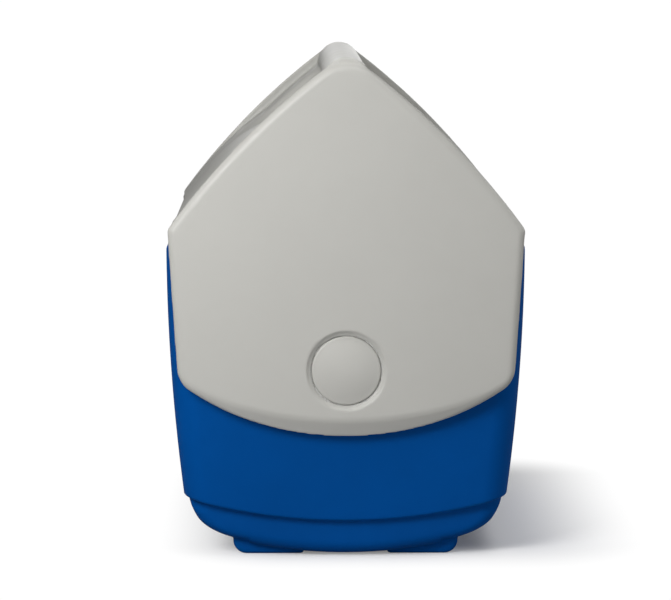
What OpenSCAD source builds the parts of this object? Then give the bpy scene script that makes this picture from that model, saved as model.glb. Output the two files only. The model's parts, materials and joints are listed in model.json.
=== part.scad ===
// Tent-top personal cooler: insulated tub, arched mouth and a swing lid that turns about an axis through both ends.
// X = width, Y = length (push-button end at -Y), Z = up, millimetres. Origin: centre of the footprint, on the floor.

/* [Tub] */
// Half width of the tub at its shoulders
tub_hx = 104.4; // [103.4:0.5:105.4]
// Half length of the tub at its crowned end faces
tub_hy = 137.5; // [136:0.5:137.8]
// Wall thickness of the tub's outer shell
shell_t = 2.4; // [2:0.2:3]
// Thickness of the insulation in the side walls
foam_t = 11; // [9:0.5:12]
// Gap between the rounded underside and the floor, along the middle
belly_z = 1.2; // [1:0.1:1.6]

/* [Lid] */
// Half width of the lid across its two eaves
eave_x = 103.4; // [102.8:0.1:104]
// Height of the eaves above the floor
eave_z = 193.4; // [192.5:0.1:194.5]
// Height of the gable apex of the two end panels
apex_z = 288.4; // [286.4:0.5:290.4]
// Height of the lowest point of the end panels
panel_z = 73.1; // [72.1:0.2:75.1]
// Outer face of the end panels, measured from the middle of the cooler
panel_u = 145; // [144.6:0.1:146]
// Height of the crest of the carrying bar
bar_z = 292; // [290:0.5:294]
// Width of the carrying bar
bar_w = 27; // [25:1:29]

/* [Pivot and push-button] */
// Height of the lid's turning axis
pivot_z = 112.2; // [111.8:0.1:113]
// Radius of the arch that the lid sweeps over the tub's mouth
sweep_r = 126.5; // [126.2:0.1:126.8]
// Radius of the push-button
button_r = 20.15; // [19.5:0.05:20.15]
// Inward travel of the push-button
button_travel = 4.5; // [3:0.5:4.5]
// Turns of wire in the button spring
spring_turns = 4; // [3:1:5]

/* [Hidden] */
$fn = 96;
piv = [0, pivot_z];
rim_r = sweep_r - 1;             // everything on the tub stays inside this radius
slope_a = 53.5;                  // slope of the gable at the eave
apex_r = 26;                     // rounding of the gable apex
smile_r = 166;                   // radius of the curved lower edge of the end panels
corner_r = 17;                   // lower corners of the end panels
side_t = 3.8;                    // lean of the end panels' side edges, degrees
base_r = 36.6;                   // rounding along the base's lower long edges
step_sag_r = 345;                // radius of the curved step line above the base
step_z = 22.0;                   // lowest point of the step line
belly_r = 285;                   // radius of the curved underside
base_c = [tub_hx - 47.9, 42.1];  // centre of the base's rounded lower corner
plate_u0 = 139;                  // inner face of the lid's end panels
liner_u = 121.2;                 // outer face of the liner's end walls
cup_r = 36;                      // pocket that takes a pivot socket
cup_u = 123.6;                   // floor of that pocket
hub_r = 24.95;
socket_r = 25.0;
guide_r = button_r + 0.1;
screw_pts = [[70, 118], [-70, 118], [62, 186], [-62, 186]];

// ---- rules for the outlines ----
function arc(c, r, a0, a1, n) = [for (i = [0:n]) let (a = a0 + (a1 - a0) * i / n) [c[0] + r * cos(a), c[1] + r * sin(a)]];
function mir(p) = concat(p, [for (i = [len(p) - 1:-1:0]) [-p[i][0], p[i][1]]]);
// radius of the long slope arc that leaves the eave at slope_a and meets the apex arc smoothly
slope_r = (pow(eave_x, 2) + pow(eave_z - apex_z + apex_r, 2) - pow(apex_r, 2))
        / (2 * (eave_x * sin(slope_a) + (eave_z - apex_z + apex_r) * cos(slope_a)) - 2 * apex_r);
slope_c = [eave_x - slope_r * sin(slope_a), eave_z - slope_r * cos(slope_a)];
apex_c = [0, apex_z - apex_r];
slope_end = atan2(apex_c[1] - slope_c[1], apex_c[0] - slope_c[0]);
function eave(d) = [eave_x - 1.022 * d, eave_z - 0.30 * d];
function slope_pts(d) = concat(
    arc(slope_c, slope_r - d, atan2(eave(d)[1] - slope_c[1], eave(d)[0] - slope_c[0]), slope_end, 14),
    arc(apex_c, apex_r - d, slope_end, 90, 6));
// lower corner of an end panel: touches the curved lower edge and the leaning side edge
kb = tan(side_t);
ka = eave_x - eave_z * kb - corner_r / cos(side_t);
kz0 = panel_z + smile_r;
qa = 1 + kb * kb;
qb = 2 * (ka * kb - kz0);
qc = ka * ka + kz0 * kz0 - pow(smile_r - corner_r, 2);
corner_z = (-qb - sqrt(qb * qb - 4 * qa * qc)) / (2 * qa);
corner_c = [ka + kb * corner_z, corner_z];
corner_a = atan2(corner_c[1] - kz0, corner_c[0]);
function panel_pts(d) = mir(concat(
    arc([0, kz0], smile_r - d, -90, corner_a, 18),
    arc(corner_c, corner_r - d, corner_a, -side_t, 8),
    slope_pts(d)));
// tub outline in plan, with crowned ends
function plan_pts(hx, hy, r) = let (ye = hy - pow(hx - r, 2) / 3000) concat(
    arc([hx - r, ye - r], r, 0, 86, 5),
    [for (i = [1:3]) let (x = (hx - r) * (1 - i / 2)) [x, hy - x * x / 3000]],
    [for (p = arc([hx - r, ye - r], r, 86, 0, 5)) [-p[0], p[1]]]);
function plan_all(hx, hy, r) = let (h = plan_pts(hx, hy, r)) concat(h, [for (i = [len(h) - 1:-1:0]) [h[i][0], -h[i][1]]]);

module along_y(u0, u1) { rotate([90, 0, 0]) translate([0, 0, -u1]) linear_extrude(u1 - u0) children(); }
module at_end(front = true) { mirror([0, front ? 0 : 1, 0]) translate([0, 0, pivot_z]) rotate([90, 0, 0]) children(); }
module tube_u(r, u0, u1, r2 = -1) { translate([0, 0, u0]) cylinder(h = u1 - u0, r1 = r, r2 = r2 < 0 ? r : r2); }
module slab(hx, hy, r, z) { translate([0, 0, z]) linear_extrude(0.02) polygon(plan_all(hx, hy, r)); }

// ---- tub envelopes; d is how far inside the outer surface ----
module upper_env(d) {
    hull() {
        slab(tub_hx - 11.5 - d, tub_hy - 7.8 - d, max(13 - d, 8), 18 + d);
        slab(tub_hx - 6.1 - d, tub_hy - 4.2 - d, max(14 - d, 8), 62);
        slab(tub_hx - 2.6 - d, tub_hy - 1.8 - d, max(15 - d, 8), 105);
        slab(tub_hx - 0.5 - d, tub_hy - 0.4 - d, max(15 - d, 8), 150);
        slab(tub_hx - d, tub_hy - d, max(15 - d, 8), 242);
    }
}
module base2d(d, wide = 0) {
    // cross-section of the rounded base; d is how far inside the outer surface
    intersection() {
        translate([0, belly_z + belly_r]) circle(r = belly_r - d, $fn = 360);
        union() {
            translate([-base_c[0], -5]) square([2 * base_c[0], 300]);
            for (s = [-1, 1]) translate([s * base_c[0], base_c[1]]) circle(r = base_r - d, $fn = 96);
            translate([-base_c[0] - base_r + d - wide, base_c[1]]) square([2 * (base_c[0] + base_r - d + wide), 230]);
        }
    }
}
module base_body() {
    intersection() {
        along_y(-150, 150) base2d(0);
        linear_extrude(50) polygon(plan_all(base_c[0] + base_r - 0.3, tub_hy - 11, 14));
    }
}
module above_step() {
    along_y(-170, 170) difference() {
        translate([-130, 0]) square([260, 300]);
        translate([-131, -10]) square([262, 10 + step_z - 1]);
        polygon(concat([[-131, 10], [131, 10]],
            [for (i = [0:16]) let (x = 131 - 262 * i / 16) [x, step_z + step_sag_r - sqrt(pow(step_sag_r, 2) - pow(min(abs(x), 94), 2))]]));
    }
}
module arch_disc(r) { along_y(-170, 170) translate(piv) circle(r = r, $fn = 180); }
module mouth_cut(r) {
    // keeps what lies below the arch of radius r
    along_y(-170, 170) union() { translate(piv) circle(r = r, $fn = 180); translate([-150, 0]) square([300, pivot_z]); }
}
module cavity() {
    // inside of the liner
    hull() {
        slab(tub_hx - 31.4, tub_hy - 31, 16, 26.1);
        slab(tub_hx - 23, tub_hy - 22.5, 16, 35);
        slab(tub_hx - shell_t - foam_t - 2.6, liner_u - 2.4, 20, 150);
        slab(tub_hx - shell_t - foam_t - 2.6, liner_u - 2.4, 20, 250);
    }
}
module liner_out(g = 0) {
    hull() {
        slab(tub_hx - 29 + g, tub_hy - 28.6 + g, 16, 23.6 - g);
        slab(tub_hx - 20.6 + g, tub_hy - 20.1 + g, 18, 33 - g);
        slab(tub_hx - shell_t - foam_t - 0.2 + g, liner_u + g, 22, 150);
        slab(tub_hx - shell_t - foam_t - 0.2 + g, liner_u + g, 22, 250);
    }
}

module outer_shell() {
    color([0.02, 0.24, 0.62]) difference() {
        union() {
            intersection() { upper_env(0); above_step(); mouth_cut(rim_r - 1.8); }
            base_body();
            for (sx = [0, 1], u = [-116, 67]) mirror([sx, 0, 0]) along_y(u, u + 49) foot2d();
        }
        difference() {
            intersection() { shell_void(0); along_y(-150, 150) base2d(2.6, 20); }
            for (f = [true, false]) at_end(f) tube_u(cup_r + 2.2, cup_u - 2, 150);
        }
        for (f = [true, false]) at_end(f) tube_u(cup_r, cup_u, 150);
        // foaming port in the base
        translate([0, 0, -1]) cylinder(r = 8, h = 8);
    }
}
module shell_void(g) {
    // space inside the outer shell; g is the gap left around the foam
    hull() {
        slab(tub_hx - 34 - g, tub_hy - 32 - g, 18, belly_z + 2.2 + g);
        slab(tub_hx - 15.4 - g, tub_hy - 13.4 - g, 18, 32 + g);
        slab(tub_hx - shell_t - 0.8 - g, tub_hy - shell_t - 0.8 - g, 22, 150);
        slab(tub_hx - shell_t - 0.8 - g, tub_hy - shell_t - 0.8 - g, 22, 250 + g);
    }
}
module foot2d() {
    union() {
        translate([24.4, 0]) square([33.6, 12]);
        translate([24.4, 8]) square([41.6, 4]);
        translate([58, 8]) circle(r = 8, $fn = 64);
    }
}
module foam_box(levels, r) {
    // plain tapered block with chamfered corners; levels are [half width, half length, height]
    hull() {
        for (k = levels) translate([0, 0, k[2]]) linear_extrude(0.02)
            polygon([for (q = [[1, 1], [-1, 1], [-1, -1], [1, -1]], i = [0, 1]) let (a = (q[0] * q[1] > 0) == (i == 0))
                [q[0] * (a ? k[0] : k[0] - r), q[1] * (a ? k[1] - r : k[1])]]);
    }
}
module body_foam() {
    color([0.93, 0.9, 0.72]) difference() {
        intersection() {
            along_y(-150, 150) base2d(3.2, 20);
            foam_box([[tub_hx - 36.5, tub_hy - 35, belly_z + 3.6], [tub_hx - 16.6, tub_hy - 16.8, 34],
                      [tub_hx - 5, tub_hy - 7, 150], [tub_hx - 5, tub_hy - 7, 240]], 14);
            mouth_cut(rim_r - 2.6);
        }
        foam_box([[tub_hx - 28.4, tub_hy - 28, 23], [tub_hx - 20.2, tub_hy - 19.7, 33],
                  [tub_hx - shell_t - foam_t + 0.4, liner_u + 0.4, 150], [tub_hx - shell_t - foam_t + 0.4, liner_u + 0.4, 251]], 10);
        for (f = [true, false]) at_end(f) tube_u(cup_r + 2.8, 100, 150);
        translate([0, 0, 2]) cylinder(r = 9, h = 12);
    }
}
module inner_liner() {
    color([0.93, 0.94, 0.95]) difference() {
        union() {
            intersection() { liner_out(0); mouth_cut(rim_r); }
            // lip that covers the foam and hooks over the shell's rim
            intersection() {
                upper_env(1.2);
                difference() { mouth_cut(rim_r); arch_disc(rim_r - 1.7); translate([-150, -170, 0]) cube([300, 340, 150]); }
            }
        }
        cavity();
    }
}
module foam_fill_plug() {
    color([0.02, 0.2, 0.52]) union() {
        translate([0, 0, belly_z + 0.4]) cylinder(r = 7.9, h = 2.7);
        translate([0, 0, belly_z + 2.9]) cylinder(r1 = 8.6, r2 = 6.6, h = 3);
    }
}
module pivot_socket(front) {
    at_end(front) difference() {
        union() {
            tube_u(cup_r - 0.1, cup_u + 0.1, 136.6);
        }
        tube_u(socket_r, cup_u - 1, 140);
        tube_u(28.8, cup_u - 1, 130);
        // moulding core-outs around the bearing
        for (a = [0:30:330]) rotate([0, 0, a]) translate([30.6, -2.4, cup_u - 1]) cube([3.2, 4.8, 9]);
    }
}
module front_pivot_socket() { color([0.86, 0.87, 0.88]) pivot_socket(true); }
module rear_pivot_socket() { color([0.86, 0.87, 0.88]) pivot_socket(false); }
module lock_ring() {
    // detent ring: two notches catch the latch key when the lid is upright
    color([0.25, 0.27, 0.3]) at_end(true) difference() {
        tube_u(22, cup_u + 0.1, 131);
        tube_u(16, cup_u - 1, 140);
        for (a = [0, 180]) rotate([0, 0, a]) translate([15, -3.2, 128]) cube([4.6, 6.4, 5]);
    }
}

// ---- lid ----
module eave_wedge(d) {
    // everything on the lid's side of the eave line, measured as a fan from the pivot
    polygon([piv, [2 * eave(d)[0], piv[1] + 2 * (eave(d)[1] - piv[1])], [0, 500], [-2 * eave(d)[0], piv[1] + 2 * (eave(d)[1] - piv[1])]]);
}
module slopes2d(d) {
    intersection() { polygon(concat([[0, 150]], [[eave(d)[0], 150]], slope_pts(d), [for (i = [len(slope_pts(d)) - 1:-1:0]) [-slope_pts(d)[i][0], slope_pts(d)[i][1]]], [[-eave(d)[0], 150]])); eave_wedge(d); }
}
module low_roof2d() {
    difference() { intersection() { slopes2d(2.2); translate(piv) circle(r = 139, $fn = 180); } translate(piv) circle(r = sweep_r, $fn = 180); }
}
module high_roof2d() { difference() { slopes2d(5.6); translate(piv) circle(r = 138, $fn = 180); } }
module bar2d() {
    union() {
        translate([0, bar_z - bar_w / 2]) circle(r = bar_w / 2, $fn = 64);
        translate([-bar_w / 2, 279]) square([bar_w, bar_z - bar_w / 2 - 279]);
        translate([-bar_w / 2 + 3, 276]) square([bar_w - 6, 6]);
        for (s = [-1, 1]) translate([s * (bar_w / 2 - 3), 279]) circle(r = 3, $fn = 32);
    }
}
module panel(front) {
    mirror([0, front ? 0 : 1, 0]) intersection() {
        along_y_front(plate_u0, panel_u + 1) polygon(panel_pts(0));
        translate([0, 1800 - panel_u, 0]) cylinder(r = 1800, h = 400, $fn = 360);
        translate([0, 0, kz0]) rotate([90, 0, 0]) translate([0, 0, plate_u0 - 0.01]) cylinder(r1 = smile_r + 0.5, r2 = smile_r - 8.5, h = panel_u - plate_u0 + 0.5, $fn = 180);
    }
}
module along_y_front(u0, u1) { rotate([90, 0, 0]) translate([0, 0, u0]) linear_extrude(u1 - u0) children(); }
module hand_space() {
    // finger tunnel under the bar and the two open scoops beside it
    rotate([90, 0, 90]) translate([0, 0, -60]) linear_extrude(120) union() {
        translate([-76, 240]) square([152, 36]);
        for (s = [-1, 1]) translate([s * 76, 264]) circle(r = 12, $fn = 64);
        translate([-88, 240]) square([176, 24]);
    }
    for (s = [-1, 1]) translate([s > 0 ? bar_w / 2 : -bar_w / 2 - 60, -88, 240]) cube([60, 176, 60]);
}
module lid_shell() {
    color([0.76, 0.76, 0.74]) difference() {
        union() {
            panel(true);
            panel(false);
            along_y(-plate_u0 - 0.5, plate_u0 + 0.5) low_roof2d();
            difference() { along_y(-plate_u0 - 0.5, plate_u0 + 0.5) high_roof2d(); hand_space(); }
            along_y(-plate_u0 - 1.5, plate_u0 + 1.5) bar2d();
        }
        lid_void(0);
        // hollow of the bar, open below
        translate([-bar_w / 2 + 3, -74, 270]) cube([bar_w - 6, 148, 15]);
        for (y = [-60, 60]) translate([0, y, 280]) cylinder(r = 1.5, h = 9, $fn = 32);
        for (y = [-120, 0, 120], s = [-1, 1]) rivet_at(s, y) cylinder(r = 1.6, h = 6, $fn = 32);
        for (f = [true, false]) {
            mirror([0, f ? 0 : 1, 0]) difference() {
                along_y_front(plate_u0 - 1, plate_u0 + 2.4) intersection() { polygon(panel_pts(6)); translate(piv) circle(r = 122, $fn = 180); }
                for (p = screw_pts) translate([p[0], 0, p[1]]) rotate([90, 0, 0]) tube_u(4, plate_u0 + 1.9, 146);
                at_end(true) tube_u(33, plate_u0 + 1.9 + 1.6, 146);
            }
            mirror([0, f ? 0 : 1, 0]) for (p = screw_pts) translate([p[0], 0, p[1]]) rotate([90, 0, 0]) tube_u(1.5, plate_u0 + 1, plate_u0 + 4);
            at_end(f) tube_u(guide_r, plate_u0, 150);
            at_end(f) tube_u(guide_r, panel_u - 2.0, panel_u + 1, 24.4);
            at_end(f) tube_u(hub_r + 0.1, plate_u0 - 1, plate_u0 + 3.4);
            at_end(f) tube_u(31, plate_u0 - 1, plate_u0 + 3.4);
        }
    }
}
module lid_void(g) {
    // room for the lid's insulation and liner; g is the gap left around the foam
    along_y(-plate_u0 + 3 + g, plate_u0 - 3 - g) difference() {
        intersection() {
            slopes2d(2.2 + 2.6 + g);
            translate(piv) circle(r = 139 - 2.6 - g, $fn = 180);
            fan2d(40.5 - g * 0.5);
        }
        translate(piv) circle(r = g > 0 ? sweep_r + 2.3 : sweep_r - 1, $fn = 180);
    }
}
module fan2d(a) { polygon([piv, piv + 300 * [sin(a), cos(a)], piv + [0, 420], piv + 300 * [-sin(a), cos(a)]]); }
module lid_foam() {
    color([0.93, 0.9, 0.72]) difference() {
        lid_void(0.3);
        for (y = [-120, 0, 120], s = [-1, 1]) rivet_at(s, y) cylinder(r = 4, h = 12, $fn = 32);
    }
}
module lid_liner() {
    color([0.93, 0.94, 0.95]) difference() {
        along_y(-plate_u0 + 3.3, plate_u0 - 3.3) intersection() {
            difference() { translate(piv) circle(r = sweep_r + 2, $fn = 180); translate(piv) circle(r = sweep_r, $fn = 180); }
            fan2d(40.3);
        }
        for (y = [-120, 0, 120], s = [-1, 1]) rivet_at(s, y) { cylinder(r = 1.7, h = 12, $fn = 32); cylinder(r = 3.6, h = 1.2, $fn = 32); }
    }
}
// local frame on the liner's arch near an eave, pointing outwards
module rivet_at(s, y) { translate([0, y, pivot_z]) rotate([0, s * 37, 0]) translate([0, 0, sweep_r - 0.01]) children(); }
module liner_rivets() {
    color([0.9, 0.9, 0.9]) for (y = [-120, 0, 120], s = [-1, 1]) rivet_at(s, y) union() {
        translate([0, 0, 0.2]) cylinder(r = 3.5, h = 0.9, $fn = 32);
        translate([0, 0, 0.2]) cylinder(r = 1.5, h = 4.6, $fn = 32);
    }
}
module grip_insert() {
    color([0.7, 0.7, 0.69]) difference() {
        union() {
            translate([-bar_w / 2 + 3.2, -73.8, 276.2]) cube([bar_w - 6.4, 147.6, 2.6]);
            for (s = [-1, 1]) translate([s * (bar_w / 2 - 4.4) - 1.1, -73.8, 276.2]) cube([2.2, 147.6, 8.4]);
            for (y = [-60, 60]) translate([0, y, 276.2]) cylinder(r = 4, h = 8.6, $fn = 48);
        }
        for (y = [-60, 60]) translate([0, y, 270]) { cylinder(r = 1.7, h = 20, $fn = 32); cylinder(r = 3.2, h = 8.4, $fn = 32); }
    }
}
module grip_screws() {
    color([0.6, 0.6, 0.6]) for (y = [-60, 60]) translate([0, y, 276.6]) difference() {
        union() { cylinder(r = 3, h = 1.7, $fn = 32); cylinder(r = 1.45, h = 11.5, $fn = 32); }
        for (a = [0, 90]) rotate([0, 0, a]) translate([-2, -0.4, -1]) cube([4, 0.8, 1.9]);
    }
}
module inner_panel(front) {
    mirror([0, front ? 0 : 1, 0]) difference() {
        along_y_front(plate_u0, plate_u0 + 1.7) intersection() { polygon(panel_pts(6.2)); translate(piv) circle(r = 121.8, $fn = 180); }
        at_end(true) tube_u(hub_r + 0.15, 130, 150);
        for (p = screw_pts) translate([p[0], 0, p[1]]) rotate([90, 0, 0]) { tube_u(1.7, 130, 150); tube_u(3.2, 130, plate_u0 + 1.1); }
    }
}
module front_inner_panel() { color([0.7, 0.7, 0.69]) inner_panel(true); }
module rear_inner_panel() { color([0.7, 0.7, 0.69]) inner_panel(false); }
module panel_screws(front) {
    mirror([0, front ? 0 : 1, 0]) for (p = screw_pts) translate([p[0], 0, p[1]]) rotate([90, 0, 0]) difference() {
        union() { tube_u(3, plate_u0 + 0.1, plate_u0 + 1.0); tube_u(1.45, plate_u0 + 0.1, plate_u0 + 3.8); }
        for (a = [0, 90]) rotate([0, 0, a]) translate([-2, -0.4, plate_u0 - 1]) cube([4, 0.8, 1.6]);
    }
}
module front_panel_screws() { color([0.6, 0.6, 0.6]) panel_screws(true); }
module rear_panel_screws() { color([0.6, 0.6, 0.6]) panel_screws(false); }
module hub(front) {
    at_end(front) difference() {
        union() {
            tube_u(hub_r, 127, plate_u0 + 3.3);
            tube_u(30.8, plate_u0 + 1.8, plate_u0 + 3.3);
        }
        tube_u(22.4, 120, 131.5);
        tube_u(guide_r, 133.5, 150);
        tube_u(6.1, 120, 150);
        difference() { tube_u(30, 127.9, 129.6); tube_u(23.5, 127, 131); }
    }
}
module front_hub() { color([0.72, 0.72, 0.7]) hub(true); }
module rear_hub() { color([0.72, 0.72, 0.7]) hub(false); }
module retaining_ring(front) {
    at_end(front) difference() {
        tube_u(28.3, 128, 129.5);
        tube_u(23.6, 120, 140);
        translate([-2.5, -40, 120]) cube([5, 40, 20]);
    }
}
module front_retaining_ring() { color([0.55, 0.56, 0.58]) retaining_ring(true); }
module rear_retaining_ring() { color([0.55, 0.56, 0.58]) retaining_ring(false); }
module cap_dome() {
    // shallow dome of the button face, apex just proud of the panel
    intersection() {
        tube_u(button_r, 130, 150);
        translate([0, 0, panel_u + 0.9 - 80]) sphere(r = 80, $fn = 180);
    }
}
module rear_pivot_cap() {
    color([0.76, 0.76, 0.74]) at_end(false) difference() {
        intersection() { cap_dome(); tube_u(button_r, 134, 150); }
        tube_u(button_r - 2, 130, panel_u - 2.2);
    }
}
module push_button() {
    color([0.76, 0.76, 0.74]) at_end(true) difference() {
        union() {
            difference() {
                intersection() { cap_dome(); tube_u(button_r, 138.4, 150); }
                tube_u(button_r - 2, 130, panel_u - 2.2);
            }
            tube_u(6, 131.4, panel_u - 1);
        }
        tube_u(1.5, 120, 139);
    }
}
module latch_key() {
    color([0.25, 0.27, 0.3]) at_end(true) difference() {
        union() {
            intersection() { translate([-20, -2.8, 128.8]) cube([40, 5.6, 2.5]); tube_u(15.8, 120, 140); }
            tube_u(7.5, 128.8, 131.3);
        }
        tube_u(1.7, 120, 140);
        tube_u(3, 120, 130.1);
    }
}
module key_screw() {
    color([0.6, 0.6, 0.6]) at_end(true) difference() {
        union() { tube_u(2.8, 128.9, 130.05); tube_u(1.45, 129, 138.5); }
        for (a = [0, 90]) rotate([0, 0, a]) translate([-2, -0.4, 128]) cube([4, 0.8, 1.5]);
    }
}
// coil of round wire with closed ends, swept along the button's axis
sp_r = 11; sp_w = 0.55; sp_z0 = 133.5 + sp_w + 0.05; sp_z1 = panel_u - 2.2 - sp_w - 0.05; sp_n = 28; sp_k = 8;
function sp_h(t) = sp_z0 + (sp_z1 - sp_z0) * min(max((t - 0.5) / (spring_turns - 1), 0), 1);
module button_spring() {
    n = sp_n * spring_turns;
    pts = [for (i = [0:n]) let (t = i / sp_n, a = 360 * t) for (j = [0:sp_k - 1]) let (b = 360 * j / sp_k)
        [(sp_r + sp_w * cos(b)) * cos(a), (sp_r + sp_w * cos(b)) * sin(a), sp_h(t) + sp_w * sin(b) + (t < 0.5 ? 0 : 0)]];
    faces = concat(
        [for (i = [0:n - 1], j = [0:sp_k - 1]) [i * sp_k + j, i * sp_k + (j + 1) % sp_k, (i + 1) * sp_k + (j + 1) % sp_k, (i + 1) * sp_k + j]],
        [[for (j = [sp_k - 1:-1:0]) j]], [[for (j = [0:sp_k - 1]) n * sp_k + j]]);
    color([0.75, 0.76, 0.78]) at_end(true) polyhedron(points = pts, faces = faces, convexity = 8);
}

outer_shell();
body_foam();
inner_liner();
foam_fill_plug();
front_pivot_socket();
rear_pivot_socket();
lock_ring();
lid_shell();
lid_foam();
lid_liner();
liner_rivets();
grip_insert();
grip_screws();
front_inner_panel();
rear_inner_panel();
front_panel_screws();
rear_panel_screws();
front_hub();
rear_hub();
front_retaining_ring();
rear_retaining_ring();
rear_pivot_cap();
push_button();
latch_key();
key_screw();
button_spring();
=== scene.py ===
import bpy, bmesh, json, math
import numpy as np
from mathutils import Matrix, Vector


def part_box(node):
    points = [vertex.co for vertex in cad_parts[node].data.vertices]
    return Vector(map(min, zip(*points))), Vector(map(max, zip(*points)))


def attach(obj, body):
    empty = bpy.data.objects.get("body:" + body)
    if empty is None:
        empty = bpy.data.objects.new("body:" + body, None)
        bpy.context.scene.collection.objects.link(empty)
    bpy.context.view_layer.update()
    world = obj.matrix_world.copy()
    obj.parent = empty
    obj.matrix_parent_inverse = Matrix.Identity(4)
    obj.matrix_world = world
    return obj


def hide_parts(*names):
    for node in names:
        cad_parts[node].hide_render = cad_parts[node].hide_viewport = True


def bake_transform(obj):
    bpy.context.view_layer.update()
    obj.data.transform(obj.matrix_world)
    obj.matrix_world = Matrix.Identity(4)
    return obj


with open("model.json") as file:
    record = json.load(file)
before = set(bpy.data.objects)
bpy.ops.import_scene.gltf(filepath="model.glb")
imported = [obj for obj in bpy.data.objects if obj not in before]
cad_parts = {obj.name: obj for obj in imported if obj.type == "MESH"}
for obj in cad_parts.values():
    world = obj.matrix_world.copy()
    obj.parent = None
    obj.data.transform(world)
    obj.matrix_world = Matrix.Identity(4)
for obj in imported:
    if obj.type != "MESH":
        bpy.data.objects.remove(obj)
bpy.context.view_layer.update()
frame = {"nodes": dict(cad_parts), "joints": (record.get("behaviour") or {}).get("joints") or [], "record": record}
nodes = frame["nodes"]
record = frame["record"]
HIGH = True
MM = 0.001

# ------------------------------------------------------------------ sizes, read from the frame (millimetres)
def bx(n):
    lo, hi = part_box(n)
    return [v * 1000 for v in lo], [v * 1000 for v in hi]
lid_lo, lid_hi = bx("lid_shell")
tub_lo, tub_hi = bx("outer_shell")
joint = {j["name"]: j for j in frame["joints"]}
PZ = joint["lid_swing"]["pos_m"][2] * 1000          # height of the lid's turning axis
PU = lid_hi[1]                                      # outer face of the end panels
EX = lid_hi[0]                                      # half width over the eaves
HX = tub_hi[0]                                      # half width of the tub
HY = tub_hi[1]                                      # half length of the tub
BARZ = lid_hi[2]                                    # crest of the bar
PANZ = lid_lo[2]                                    # lowest edge of the end panels
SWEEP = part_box("lid_liner")[1][2] * 1000 - PZ - 2.0  # radius of the arch under the lid
BTN_R = bx("push_button")[1][0]
EZ = 193.4 + (PZ - 112.2)
APZ = BARZ - 3.6

# ------------------------------------------------------------------ signed-distance building blocks
def rmax(a, b, r):
    if r <= 0:
        return np.maximum(a, b)
    u = np.maximum(a + r, 0.0)
    v = np.maximum(b + r, 0.0)
    return np.minimum(-r, np.maximum(a, b)) + np.sqrt(u * u + v * v)
def rmin(a, b, r):
    return -rmax(-a, -b, r)
def cut(a, b, r):
    return rmax(a, -b, r)

SLOPE_A = math.radians(53.5)
APR = 26.0
k = EZ - APZ + APR
SLR = (EX ** 2 + k ** 2 - APR ** 2) / (2 * (EX * math.sin(SLOPE_A) + k * math.cos(SLOPE_A)) - 2 * APR)
SCX, SCZ = EX - SLR * math.sin(SLOPE_A), EZ - SLR * math.cos(SLOPE_A)
SIDE_T = math.radians(3.8)
SMILE = 166.0

def gable(x, z):
    a = np.hypot(x - SCX, z - SCZ) - SLR
    b = np.hypot(-x - SCX, z - SCZ) - SLR
    return rmax(a, b, 18.0)
def side(x, z):
    return (np.abs(x) - (EX - (EZ - z) * math.tan(SIDE_T))) * math.cos(SIDE_T)
def smile(x, z):
    return np.hypot(x, z - (PANZ + SMILE)) - SMILE
def outline(x, z):
    return rmax(rmax(gable(x, z), side(x, z), 1.6), smile(x, z), 6.2)
def rp(x, z):
    return np.hypot(x, z - PZ)
def face_u(x, z):
    return PU - x * x / 3600.0 - np.square(z - 150.0) / 12000.0

def panel(x, u, z):
    o = outline(x, z)
    f = rmax(o, u - face_u(x, z), 5.0)
    up = np.hypot(x, z - (PANZ + 10.0 + 228.0)) - 228.0
    bev = up * 0.46 + (u - face_u(x, z)) * 0.888
    f = rmax(f, bev, 1.0)
    return rmax(f, 139.0 - u, 0.7), o

TH_E = math.atan2(EX - 2.25, EZ - 0.66 - PZ)
def fan(x, z, deg):
    t = math.radians(deg)
    return np.abs(x) * math.cos(t) - (z - PZ) * math.sin(t)

def lid_sdf(x, y, z):
    u = np.abs(y)
    g = gable(x, z)
    r = rp(x, z)
    fe = fan(x, z, math.degrees(TH_E))
    low = rmax(rmax(g + 2.2, r - 139.0, 7.0), fe, 1.6)
    high = rmax(rmax(g + 5.4, fe, 1.6), 90.0 - u, 9.0)
    top = rmin(low, high, 8.0)
    d1 = np.hypot(x, np.maximum(z - (BARZ - 13.5), 0.0)) - 13.5
    bar = rmax(d1, 276.0 - z, 4.5)
    bar = rmax(bar, u - 139.5, 0.5)
    top = rmin(top, bar, 1.2)
    web = rmax(rmax(np.abs(x) - 13.5, z - 280.0, 1.0), 250.0 - z, 1.0)
    web = rmax(web, 86.0 - u, 11.0)
    top = rmin(top, rmax(web, u - 139.0, 0.5), 1.2)
    # hollow of the bar, closed from below by the grip insert
    box = rmax(np.maximum(np.abs(x) - 9.6, u - 73.95), np.maximum(z - 283.0, 270.0 - z), 2.5)
    top = cut(top, box, 0.4)
    top = rmax(top, SWEEP - r, 0.9)
    top = rmax(top, u - 140.0, 0.0)
    # room for the insulation and the liner
    void = np.maximum(np.maximum(g + np.interp(u, [90.0, 101.0], [8.4, 4.9]), r - 136.3), np.maximum(fan(x, z, 40.5), np.maximum(u - 136.0, SWEEP - 2 - r)))
    top = cut(top, void, 0.5)
    p, o = panel(x, u, z)
    lid = rmin(top, p, 1.2)
    # pocket for the backing plate, hub seat, button bore with its shallow countersink
    pocket = np.maximum(np.maximum(o + 6.0, r - 122.0), u - 141.0)
    lid = cut(lid, pocket, 0.5)
    lid = cut(lid, np.maximum(r - 31.0, u - 142.45), 0.3)
    lid = cut(lid, r - (BTN_R + 0.12), 0.25)
    cs = r - (23.5 + np.minimum(u - PU, 0.4) * 1.1)
    cs = rmax(cs, (PU - 2.0) - u, 0.6)
    lid = cut(lid, cs, 0.35)
    return lid

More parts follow.
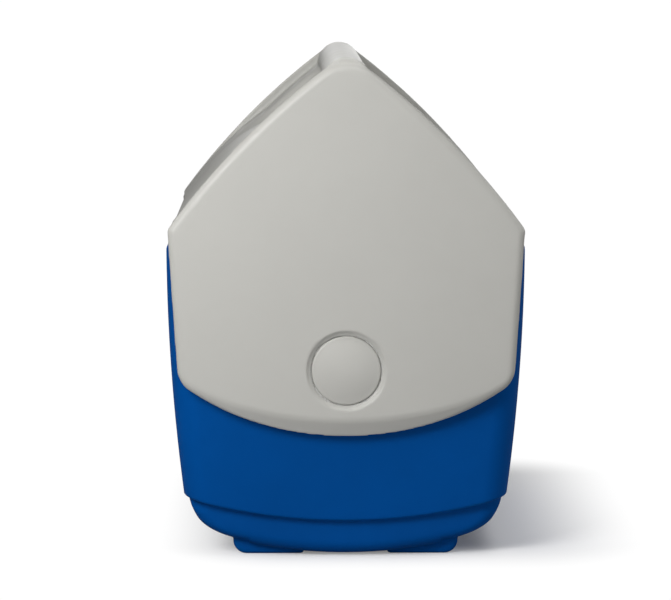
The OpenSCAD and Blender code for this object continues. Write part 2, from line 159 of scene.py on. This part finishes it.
def tub_h(z, top, drop):
    t = np.maximum(186.0 - z, 0.0)
    return top - drop * t * t
BELLY, BELR, BR = 1.2, 285.0, 36.6
BCX, BCZ = HX - 47.9, 42.1
def base2d(ax, z):
    """Cross-section of the rounded base."""
    belly = np.hypot(ax, z - BELLY - BELR) - BELR
    corner = np.where((ax > BCX) & (z < BCZ), np.hypot(ax - BCX, z - BCZ) - BR, ax - BCX - BR)
    return rmax(belly, corner, 7.0)
def tub_sdf(x, y, z):
    u = np.abs(y)
    ax = np.abs(x)
    crown = x * x / 3000.0
    up = rmax(ax - tub_h(z, HX, 4.15e-4), u - (tub_h(z, HY, 2.85e-4) - crown), 15.0)
    xs = np.minimum(ax, 94.0)
    zs = 22.0 + 345.0 - np.sqrt(345.0 ** 2 - xs * xs)
    up = rmax(up, (zs - z), 1.3)
    bd = rmax(base2d(ax, z), u - (HY - 12.2 - crown), 8.0)
    base = rmax(rmax(ax - BCX - BR, u - (HY - 12.2 - crown), 14.0), bd, 0.0)
    base = rmax(base, z - 60.0, 0.0)
    b = rmin(up, base, 0.5)
    foot = rmax(rmax(-z, ax - 66.0, 8.0), 24.4 - ax, 2.0)
    foot = rmax(rmax(foot, np.abs(u - 91.5) - 24.5, 2.4), z - 12.0, 0.0)
    b = rmin(b, foot, 0.8)
    r = rp(x, z)
    m = np.where(z > PZ, r, ax) - (SWEEP - 1.5)
    b = rmax(b, m, 0.7)
    wall = 3.0 + 1.7 * np.clip((z - 160.0) / 12.0, 0.0, 1.0)
    inner = rmax(ax - (tub_h(z, HX, 4.15e-4) - wall), u - (tub_h(z, HY, 2.85e-4) - crown - wall), 12.0)
    low = np.clip((48.0 - z) / 8.0, 0.0, 1.0)
    inner = np.maximum(inner + 3.6 * low * low * (3 - 2 * low), base2d(ax, z) + 2.6)
    inner = rmax(inner, u - (HY - 15.0 - 0.25 * np.maximum(34.0 - z, 0.0)), 3.0)
    cup = np.maximum(r - 38.2, 121.6 - u)
    inner = cut(inner, cup, 1.0)
    b = cut(b, inner, 0.4)
    b = cut(b, np.maximum(r - 36.0, 123.6 - u), 0.6)
    b = cut(b, np.maximum(np.hypot(x, y) - 8.0, z - 14.0), 0.5)
    return b

def liner_sdf(x, y, z):
    u = np.abs(y)
    ax = np.abs(x)
    r = rp(x, z)
    crown = x * x / 3000.0
    m = np.where(z > PZ, r, ax) - (SWEEP - 1.0)
    hxo = tub_h(z, HX - 13.6, 2.6e-4)
    hyo = tub_h(z, 121.2, 1.4e-4)
    out = rmax(rmax(ax - hxo, u - hyo, 21.0), 23.6 - z, 16.0)
    out = rmax(out, m, 1.0)
    # lip that covers the insulation and the shell's rim
    lip = rmax(ax - (tub_h(z, HX, 4.15e-4) - 4.9), u - (tub_h(z, HY, 2.85e-4) - crown - 4.9), 10.5)
    lip = rmax(lip, m, 1.1)
    lip = rmax(lip, (SWEEP - 5.2) - np.where(z > PZ + 40, r, 0.0), 0.0)
    lip = rmax(lip, 150.0 - z, 0.0)
    f = rmin(out, lip, 2.0)
    cav = rmax(rmax(ax - (hxo - 2.4), u - (hyo - 2.4), 18.6), 26.0 - z, 14.0)
    return cut(f, cav, 1.6)

# ------------------------------------------------------------------ surface nets on a graded grid
def grade(lo, hi, h, bands=()):
    xs = [lo]
    while xs[-1] < hi:
        x = xs[-1]
        step = h
        for a, b, hb in bands:
            if a - 2 * h <= x <= b:
                step = min(step, hb if x >= a - 2 * hb else (h + hb) / 2)
        xs.append(x + step)
    return np.array(xs)

def nets(f, xs, ys, zs, relax=2):
    F = np.empty((len(xs), len(ys), len(zs)), np.float32)
    CH = 24
    for j in range(0, len(ys), CH):
        F[:, j:j + CH, :] = f(xs[:, None, None], ys[None, j:j + CH, None], zs[None, None, :])
    S = F < 0
    n = S[:-1, :-1, :-1].astype(np.int8)
    for a, b, c in ((1, 0, 0), (0, 1, 0), (0, 0, 1), (1, 1, 0), (1, 0, 1), (0, 1, 1), (1, 1, 1)):
        n = n + S[a:S.shape[0] - 1 + a, b:S.shape[1] - 1 + b, c:S.shape[2] - 1 + c]
    act = (n > 0) & (n < 8)
    I, J, K = np.nonzero(act)
    idx = np.full(act.shape, -1, np.int32)
    idx[I, J, K] = np.arange(len(I))
    P = np.zeros((len(I), 3)); C = np.zeros(len(I))
    G = (xs, ys, zs)
    corner = [(a, b, c) for a in (0, 1) for b in (0, 1) for c in (0, 1)]
    for p in corner:
        for ax in range(3):
            if p[ax]:
                continue
            q = list(p); q[ax] = 1
            fa = F[I + p[0], J + p[1], K + p[2]].astype(float); fb = F[I + q[0], J + q[1], K + q[2]].astype(float)
            mask = (fa < 0) != (fb < 0)
            t = np.where(mask, fa / np.where(mask, fa - fb, 1.0), 0.0)
            base = [I + p[0], J + p[1], K + p[2]]
            co = [G[0][base[0]], G[1][base[1]], G[2][base[2]]]
            g2 = G[ax][base[ax] + 1]
            co[ax] = co[ax] + t * (g2 - co[ax])
            P += np.where(mask[:, None], np.stack(co, 1), 0.0)
            C += mask
    P /= C[:, None]
    quads = []
    for ax in range(3):
        sl0 = [slice(None)] * 3; sl1 = [slice(None)] * 3
        sl0[ax] = slice(0, -1); sl1[ax] = slice(1, None)
        A, B = S[tuple(sl0)], S[tuple(sl1)]
        e = A != B
        o1, o2 = [a for a in range(3) if a != ax]
        i = np.nonzero(e)
        ok = (i[o1] > 0) & (i[o2] > 0) & (i[o1] < F.shape[o1] - 1) & (i[o2] < F.shape[o2] - 1)
        i = [v[ok] for v in i]
        inside_first = A[tuple(i)]
        def cell(d1, d2):
            q = [v.copy() for v in i]
            q[o1] = q[o1] - d1; q[o2] = q[o2] - d2
            return idx[tuple(q)]
        q = np.stack([cell(1, 1), cell(0, 1), cell(0, 0), cell(1, 0)], 1)
        flip = inside_first if ax != 1 else ~inside_first
        q[~flip] = q[~flip][:, ::-1]
        quads.append(q)
    Q = np.concatenate(quads)
    Q = Q[(Q >= 0).all(1)]
    h = min(np.diff(xs).min(), np.diff(zs).min())
    def project(P, n):
        for _ in range(n):
            v = f(P[:, 0], P[:, 1], P[:, 2])
            e = 0.02
            g = np.stack([(f(P[:, 0] + e, P[:, 1], P[:, 2]) - f(P[:, 0] - e, P[:, 1], P[:, 2])),
                          (f(P[:, 0], P[:, 1] + e, P[:, 2]) - f(P[:, 0], P[:, 1] - e, P[:, 2])),
                          (f(P[:, 0], P[:, 1], P[:, 2] + e) - f(P[:, 0], P[:, 1], P[:, 2] - e))], 1) / (2 * e)
            gg = np.maximum((g * g).sum(1), 0.2)
            s = g * (v / gg)[:, None]
            ln = np.linalg.norm(s, axis=1)
            P = P - s * np.minimum(1.0, 0.8 / np.maximum(ln, 1e-9))[:, None]
        return P
    P = project(P, 2)
    E = np.concatenate([Q[:, [0, 1]], Q[:, [1, 2]], Q[:, [2, 3]], Q[:, [3, 0]]])
    for _ in range(relax):
        acc = np.zeros_like(P); cnt = np.zeros(len(P))
        for a, b in ((0, 1), (1, 0)):
            for c in range(3):
                acc[:, c] += np.bincount(E[:, a], P[E[:, b], c], len(P))
            cnt += np.bincount(E[:, a], None, len(P))
        M = acc / np.maximum(cnt, 1)[:, None]
        P = project(P + 0.5 * (M - P), 1)
    P = project(P, 1)
    return P, Q

def mesh_from(name, P, Q):
    me = bpy.data.meshes.new(name)
    me.vertices.add(len(P)); me.loops.add(len(Q) * 4); me.polygons.add(len(Q))
    me.vertices.foreach_set("co", (P * MM).astype(np.float32).ravel())
    me.loops.foreach_set("vertex_index", Q.astype(np.int32).ravel())
    me.polygons.foreach_set("loop_start", np.arange(0, len(Q) * 4, 4, dtype=np.int32))
    me.polygons.foreach_set("use_smooth", np.ones(len(Q), bool))
    me.update(calc_edges=True)
    me.validate()
    ob = bpy.data.objects.new(name, me)
    bpy.context.scene.collection.objects.link(ob)
    return ob

def lathe(name, prof, center, axis_sign, n=160):
    """A closed profile of (radius, height) points spun round an axis along Y; height runs outwards."""
    P = []; Q = []
    a = np.arange(n) * 2 * math.pi / n
    m = len(prof)
    rings = []
    faces = []
    verts = []
    for (r, h) in prof:
        if r < 1e-6:
            rings.append([len(verts)]); verts.append((center[0], axis_sign * h, center[2]))
        else:
            s = len(verts)
            rings.append(list(range(s, s + n)))
            for t in a:
                verts.append((center[0] + r * math.cos(t), axis_sign * h, center[2] + r * math.sin(t)))
    for i in range(m - 1):
        A, B = rings[i], rings[i + 1]
        for j in range(n):
            j2 = (j + 1) % n
            if len(A) == 1 and len(B) == 1:
                continue
            if len(A) == 1:
                faces.append((A[0], B[j], B[j2]))
            elif len(B) == 1:
                faces.append((A[j], B[0], A[j2]))
            else:
                faces.append((A[j], B[j], B[j2], A[j2]))
    me = bpy.data.meshes.new(name)
    me.from_pydata([tuple(c * MM for c in v) for v in verts], [], faces)
    bm = bmesh.new(); bm.from_mesh(me)
    bmesh.ops.recalc_face_normals(bm, faces=bm.faces)
    bm.to_mesh(me); bm.free()
    for p in me.polygons:
        p.use_smooth = True
    ob = bpy.data.objects.new(name, me)
    bpy.context.scene.collection.objects.link(ob)
    return ob

# ------------------------------------------------------------------ materials
def plastic(name, col, rough=0.42, grain=0.5, grain_mm=0.5, vary=0.05, edge_wear_sheen_col=(1, 1, 1), edge_wear_sheen_k=0.15, spec=0.4, speck=0.0, sheen=0.0, sss=0.0):
    m = bpy.data.materials.new(name); m.use_nodes = True
    nt = m.node_tree; N = nt.nodes; L = nt.links
    for n in list(N):
        N.remove(n)
    out = N.new("ShaderNodeOutputMaterial"); b = N.new("ShaderNodeBsdfPrincipled")
    L.new(b.outputs[0], out.inputs[0])
    tc = N.new("ShaderNodeTexCoord")
    def noise(scale, detail=3, rgh=0.5):
        n = N.new("ShaderNodeTexNoise"); n.inputs["Scale"].default_value = scale
        n.inputs["Detail"].default_value = detail; n.inputs["Roughness"].default_value = rgh
        L.new(tc.outputs["Object"], n.inputs["Vector"]); return n
    def ramp(src, a, bb, lo=0.0, hi=1.0):
        r = N.new("ShaderNodeMapRange"); r.inputs[1].default_value = a; r.inputs[2].default_value = bb
        r.inputs[3].default_value = lo; r.inputs[4].default_value = hi; L.new(src, r.inputs[0]); return r.outputs[0]
    def mix(fac, a, bcol):
        x = N.new("ShaderNodeMix"); x.data_type = "RGBA"
        if isinstance(fac, float): x.inputs[0].default_value = fac
        else: L.new(fac, x.inputs[0])
        for s, v in ((6, a), (7, bcol)):
            if isinstance(v, tuple): x.inputs[s].default_value = (*v, 1)
            else: L.new(v, x.inputs[s])
        return x.outputs[2]
    big = noise(14, 3); mid = noise(90, 4); fine = noise(1.0 / (grain_mm * 0.001) , 2, 0.6)
    dark = tuple(c * (1 - vary) for c in col); light = tuple(min(1, c * (1 + vary)) for c in col)
    c = mix(ramp(big.outputs[0], 0.3, 0.7), dark, light)
    c = mix(ramp(mid.outputs[0], 0.45, 0.8, 0.0, 0.35), c, tuple(cc * (1 - 1.6 * vary) for cc in col))
    # painted edge highlight: convex edges (Pointiness) are mixed, in noisy patches, towards the lighter edge
    # colour; part rubbed edge wear, part painted sheen along rounded edges
    geo = N.new("ShaderNodeNewGeometry")
    wear_and_sheen_mask = N.new("ShaderNodeMath"); wear_and_sheen_mask.operation = "MULTIPLY"
    L.new(ramp(geo.outputs["Pointiness"], 0.515, 0.58), wear_and_sheen_mask.inputs[0])
    L.new(ramp(noise(160, 4, 0.7).outputs[0], 0.42, 0.68), wear_and_sheen_mask.inputs[1])
    wear_and_sheen_amt = N.new("ShaderNodeMath"); wear_and_sheen_amt.operation = "MULTIPLY"; wear_and_sheen_amt.inputs[1].default_value = edge_wear_sheen_k
    L.new(wear_and_sheen_mask.outputs[0], wear_and_sheen_amt.inputs[0])
    c = mix(wear_and_sheen_amt.outputs[0], c, edge_wear_sheen_col)
    if speck > 0:
        vo = N.new("ShaderNodeTexVoronoi"); vo.inputs["Scale"].default_value = 130
        L.new(tc.outputs["Object"], vo.inputs["Vector"])
        sp = N.new("ShaderNodeMath"); sp.operation = "MULTIPLY"; sp.inputs[1].default_value = speck
        L.new(ramp(vo.outputs["Distance"], 0.035, 0.01), sp.inputs[0])
        c = mix(sp.outputs[0], c, tuple(cc * 0.45 for cc in col))
    L.new(c, b.inputs["Base Color"])
    rr = ramp(mid.outputs[0], 0.25, 0.75, rough - 0.05, rough + 0.06)
    L.new(rr, b.inputs["Roughness"])
    b.inputs["Specular IOR Level"].default_value = spec
    if sss > 0:
        b.inputs["Subsurface Weight"].default_value = sss
        b.inputs["Subsurface Radius"].default_value = (0.004, 0.004, 0.004)
    bp = N.new("ShaderNodeBump"); bp.inputs["Strength"].default_value = grain
    bp.inputs["Distance"].default_value = 0.00004
    bp2 = N.new("ShaderNodeBump"); bp2.inputs["Strength"].default_value = 0.35
    bp2.inputs["Distance"].default_value = 0.0006
    wav = noise(22, 1)
    L.new(wav.outputs[0], bp2.inputs["Height"]); L.new(fine.outputs[0], bp.inputs["Height"])
    L.new(bp2.outputs[0], bp.inputs["Normal"]); L.new(bp.outputs[0], b.inputs["Normal"])
    return m

def metal(name, col=(0.62, 0.62, 0.63), rough=0.32):
    m = plastic(name, col, rough=rough, grain=0.4, grain_mm=0.25, vary=0.08, edge_wear_sheen_k=0.3)
    for n in m.node_tree.nodes:
        if n.type == "BSDF_PRINCIPLED":
            n.inputs["Metallic"].default_value = 1.0
    return m

# the edge colours below are lighter than the base colours: partly edge wear, partly painted edge highlight
M_LID = plastic("lid_plastic", (0.50, 0.495, 0.465), rough=0.43, grain=0.45, grain_mm=0.55, vary=0.012, edge_wear_sheen_col=(0.80, 0.80, 0.77), edge_wear_sheen_k=0.25, spec=0.42, speck=0.25)
M_TUB = plastic("tub_plastic", (0.0, 0.070, 0.300), rough=0.46, grain=0.5, grain_mm=0.6, vary=0.05, edge_wear_sheen_col=(0.0, 0.13, 0.36), edge_wear_sheen_k=0.35, spec=0.03, speck=0.2)
M_LINER = plastic("liner_plastic", (0.82, 0.83, 0.82), rough=0.35, grain=0.25, grain_mm=0.8, vary=0.015, edge_wear_sheen_col=(0.95, 0.95, 0.95), edge_wear_sheen_k=0.2)
M_BEAR = plastic("bearing_plastic", (0.62, 0.62, 0.60), rough=0.4, grain=0.3, vary=0.03)
M_LATCH = plastic("latch_plastic", (0.05, 0.05, 0.055), rough=0.38, grain=0.4, vary=0.05, edge_wear_sheen_col=(0.2, 0.2, 0.2))
M_FOAM = plastic("foam", (0.80, 0.70, 0.42), rough=0.85, grain=1.0, grain_mm=1.2, vary=0.1, spec=0.1, speck=0.5)
M_STEEL = metal("fastener_steel")
slot_mat = {"lid_plastic": M_LID, "tub_plastic": M_TUB, "liner_plastic": M_LINER, "bearing_plastic": M_BEAR,
            "latch_plastic": M_LATCH, "foam": M_FOAM, "fastener_steel": M_STEEL}
for s in record["subparts"]:
    o = nodes[s["node"]]
    o.data.materials.clear()
    o.data.materials.append(slot_mat[s["material_slot"]])

def put(ob, mat, slot, body, *reps):
    ob.data.materials.append(mat)
    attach(ob, body)
    if reps:
        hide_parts(*reps)

# ------------------------------------------------------------------ the three moulded skins
h = 1.6 if HIGH else 2.6
fine = 0.7 if HIGH else 1.6
xs = grade(-EX - 3, EX + 3, h, [(-25, -19, fine), (19, 25, fine), (-14.5, -9, 1.0), (9, 14.5, 1.0)])
ys = grade(-PU - 2, PU + 2, h, [(-PU - 1, -PU + 8, fine), (PU - 8, PU + 1, fine)])
zs = grade(PANZ - 3, BARZ + 3, h, [(PANZ - 1, PANZ + 4, 1.0), (PZ - 25, PZ - 19, fine), (PZ + 19, PZ + 25, fine), (274, 278, 1.0)])
P, Q = nets(lid_sdf, xs, ys, zs)
lid = mesh_from("lid_skin", P, Q)
put(lid, M_LID, "lid_plastic", "lid", "lid_shell")

xs = grade(-HX - 3, HX + 3, h, [(-HX - 1, -HX + 4, 1.1), (HX - 4, HX + 1, 1.1)])
ys = grade(-HY - 3, HY + 3, h)
zs = grade(-2, tub_hi[2] + 3, h, [(-1, 2, 1.0), (22, 42, 0.9)])
P, Q = nets(tub_sdf, xs, ys, zs)
tub = mesh_from("tub_skin", P, Q)
put(tub, M_TUB, "tub_plastic", "tub", "outer_shell")

hl = 1.45 if HIGH else 2.8
lo, hi = bx("inner_liner")
P, Q = nets(liner_sdf, grade(lo[0] - 3, hi[0] + 3, hl), grade(lo[1] - 3, hi[1] + 3, hl), grade(lo[2] - 3, hi[2] + 3, hl))
liner = mesh_from("liner_skin", P, Q)
put(liner, M_LINER, "liner_plastic", "tub", "inner_liner")

# ------------------------------------------------------------------ push-button and the blind cap at the other end
def cap_profile(face, stem):
    R = BTN_R
    pr = []
    dome = 75.0
    top = face
    for i in range(0, 13):
        r = (R - 1.6) * i / 12
        pr.append((r, top - (dome - math.sqrt(dome * dome - r * r))))
    z_e = top - (dome - math.sqrt(dome * dome - (R - 1.6) ** 2))
    for i in range(1, 9):
        t = math.pi / 2 * i / 8
        pr.append((R - 1.6 + 1.6 * math.sin(t), z_e - 1.6 * (1 - math.cos(t))))
    zb = 138.4 if stem else 134.0
    pr += [(R, zb + 0.4), (R - 0.4, zb), (R - 1.6, zb), (R - 2.0, zb + 0.4), (R - 2.0, 142.2), (R - 2.6, 142.8)]
    if stem:
        pr += [(6.6, 142.8), (6.0, 142.2), (6.0, 131.7), (5.7, 131.4), (1.9, 131.4), (1.5, 131.8), (1.5, 139.0), (0.0, 139.0)]
    else:
        pr += [(0.0, 142.8)]
    return pr
btn_face = -bx("push_button")[0][1]
btn = lathe("button_skin", cap_profile(btn_face, True), (0, 0, PZ), -1)
put(btn, M_LID, "lid_plastic", "button", "push_button")
cap = lathe("rear_cap_skin", cap_profile(bx("rear_pivot_cap")[1][1], False), (0, 0, PZ), 1)
put(cap, M_LID, "lid_plastic", "lid", "rear_pivot_cap")

# return spring: a wire helix swept inside the CAD spring's box, which it replaces
def spring():
    lo, hi = bx("button_spring")
    wr = 0.55
    sr, y0, y1, turns = hi[0] - wr, hi[1] - wr, lo[1] + wr, 4
    n, k = 64 * turns, 12
    t = np.arange(n + 1) / 64.0
    a = 2 * math.pi * t
    hy = y0 + (y1 - y0) * np.clip((t - 0.5) / (turns - 1), 0, 1)
    b = 2 * math.pi * np.arange(k) / k
    rr = sr + wr * np.cos(b)[None, :]
    V = np.stack([rr * np.cos(a)[:, None], hy[:, None] + wr * np.sin(b)[None, :], PZ + rr * np.sin(a)[:, None]], 2).reshape(-1, 3)
    F = [(i * k + j, i * k + (j + 1) % k, (i + 1) * k + (j + 1) % k, (i + 1) * k + j) for i in range(n) for j in range(k)]
    F += [tuple(range(k)), tuple(n * k + j for j in range(k))]
    me = bpy.data.meshes.new("spring_wire")
    me.from_pydata([tuple(v) for v in V * MM], [], F)
    bm = bmesh.new(); bm.from_mesh(me)
    bmesh.ops.recalc_face_normals(bm, faces=bm.faces)
    bm.to_mesh(me); bm.free()
    for p in me.polygons:
        p.use_smooth = True
    ob = bpy.data.objects.new("spring_wire", me)
    bpy.context.scene.collection.objects.link(ob)
    ob.data.materials.append(M_STEEL)
    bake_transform(ob)
    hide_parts("button_spring")
spring()

# small CAD pieces that can be seen get softened edges
for n in ("grip_insert", "front_inner_panel", "rear_inner_panel", "lid_liner", "foam_fill_plug", "latch_key", "lock_ring"):
    o = nodes[n]
    m = o.modifiers.new("soft", "BEVEL"); m.width = 0.00035; m.segments = 2; m.limit_method = "ANGLE"; m.angle_limit = math.radians(40)

# ------------------------------------------------------------------ floor, light, camera
def floor():
    me = bpy.data.meshes.new("floor")
    s = 8.0
    v = [(-s, -s, 0), (s, -s, 0), (s, s, 0), (-s, s, 0)]
    me.from_pydata(v, [], [(0, 1, 2, 3)])
    o = bpy.data.objects.new("floor", me); bpy.context.scene.collection.objects.link(o)
    m = bpy.data.materials.new("floor"); m.use_nodes = True
    N = m.node_tree.nodes; L = m.node_tree.links
    b = N["Principled BSDF"]
    b.inputs["Base Color"].default_value = (0.93, 0.93, 0.93, 1); b.inputs["Roughness"].default_value = 0.9
    b.inputs["Specular IOR Level"].default_value = 0.0
    # white sweep: away from the object's shadow the floor turns into the bright backdrop, for the camera only
    tc = N.new("ShaderNodeTexCoord"); sp = N.new("ShaderNodeSeparateXYZ"); L.new(tc.outputs["Object"], sp.inputs[0])
    def m1(op, a, bv):
        n = N.new("ShaderNodeMath"); n.operation = op
        for i, v in enumerate((a, bv)):
            if v is None: continue
            if isinstance(v, (int, float)): n.inputs[i].default_value = v
            else: L.new(v, n.inputs[i])
        return n.outputs[0]
    dx = m1("MAXIMUM", m1("SUBTRACT", m1("ABSOLUTE", m1("SUBTRACT", sp.outputs[0], 0.035), None), 0.065), 0.0)
    dy = m1("MAXIMUM", m1("SUBTRACT", m1("ABSOLUTE", m1("SUBTRACT", sp.outputs[1], 0.03), None), 0.115), 0.0)
    dd = m1("SQRT", m1("ADD", m1("MULTIPLY", dx, dx), m1("MULTIPLY", dy, dy)), None)
    far = N.new("ShaderNodeMapRange"); far.interpolation_type = "SMOOTHSTEP"
    far.inputs[1].default_value = 0.0; far.inputs[2].default_value = 0.09
    L.new(dd, far.inputs[0])
    em = N.new("ShaderNodeEmission"); em.inputs[0].default_value = (1, 1, 1, 1); em.inputs[1].default_value = 1.02
    path = N.new("ShaderNodeLightPath")
    tone = N.new("ShaderNodeMapRange"); tone.inputs[3].default_value = 0.35; tone.inputs[4].default_value = 0.93
    L.new(path.outputs["Is Camera Ray"], tone.inputs[0]); L.new(tone.outputs[0], b.inputs["Base Color"])
    mix = N.new("ShaderNodeMixShader"); L.new(m1("MULTIPLY", far.outputs[0], path.outputs["Is Camera Ray"]), mix.inputs[0])
    L.new(b.outputs[0], mix.inputs[1]); L.new(em.outputs[0], mix.inputs[2])
    L.new(mix.outputs[0], N["Material Output"].inputs[0])
    me.materials.append(m)
floor()
w = bpy.data.worlds.new("studio"); bpy.context.scene.world = w; w.use_nodes = True
wn = w.node_tree.nodes; wl = w.node_tree.links
bg = wn["Background"]; bg.inputs[0].default_value = (1, 1, 1, 1); bg.inputs[1].default_value = 0.17
bg2 = wn.new("ShaderNodeBackground"); bg2.inputs[0].default_value = (1, 1, 1, 1); bg2.inputs[1].default_value = 1.02
lp = wn.new("ShaderNodeLightPath"); mx = wn.new("ShaderNodeMixShader")
wl.new(lp.outputs["Is Camera Ray"], mx.inputs[0]); wl.new(bg.outputs[0], mx.inputs[1]); wl.new(bg2.outputs[0], mx.inputs[2])
wl.new(mx.outputs[0], wn["World Output"].inputs[0])
def area(name, loc, target, size, power, col=(1, 1, 1)):
    d = bpy.data.lights.new(name, "AREA"); d.shape = "RECTANGLE"; d.size = size[0]; d.size_y = size[1]; d.energy = power; d.color = col
    o = bpy.data.objects.new(name, d); bpy.context.scene.collection.objects.link(o)
    o.location = loc
    o.rotation_euler = (Vector(target) - Vector(loc)).to_track_quat("-Z", "Y").to_euler()
    return o
area("key", (-0.37, -0.64, 0.48), (0, -0.1, 0.15), (0.30, 0.30), 3.7)
area("top", (0.45, -0.45, 1.7), (0, 0, 0.1), (0.9, 0.9), 9.5)
area("fill", (0.25, -2.3, 0.2), (0, 0, 0.05), (1.2, 0.4), 5.5)
area("side", (1.8, 0.7, 0.8), (0, 0, 0.12), (1.2, 0.9), 7)
area("back", (0.3, 2.3, 0.6), (0, 0, 0.12), (1.4, 0.6), 7)

cam = bpy.data.cameras.new("camera"); co = bpy.data.objects.new("camera", cam)
bpy.context.scene.collection.objects.link(co)
cam.sensor_width = 36; cam.sensor_fit = "HORIZONTAL"
CAM = dict(pos=(-0.03222, -1.88339, 0.35565), yaw=0.853, pitch=6.634, f=3056.5)
cam.lens = CAM["f"] / 671 * 36
co.location = CAM["pos"]
co.rotation_euler = (math.radians(90 - CAM["pitch"]), 0, math.radians(-CAM["yaw"]))
cam.clip_start = 0.05; cam.clip_end = 50
bpy.context.scene.camera = co
bpy.context.scene.view_settings.view_transform = "Standard"

bpy.context.view_layer.update()
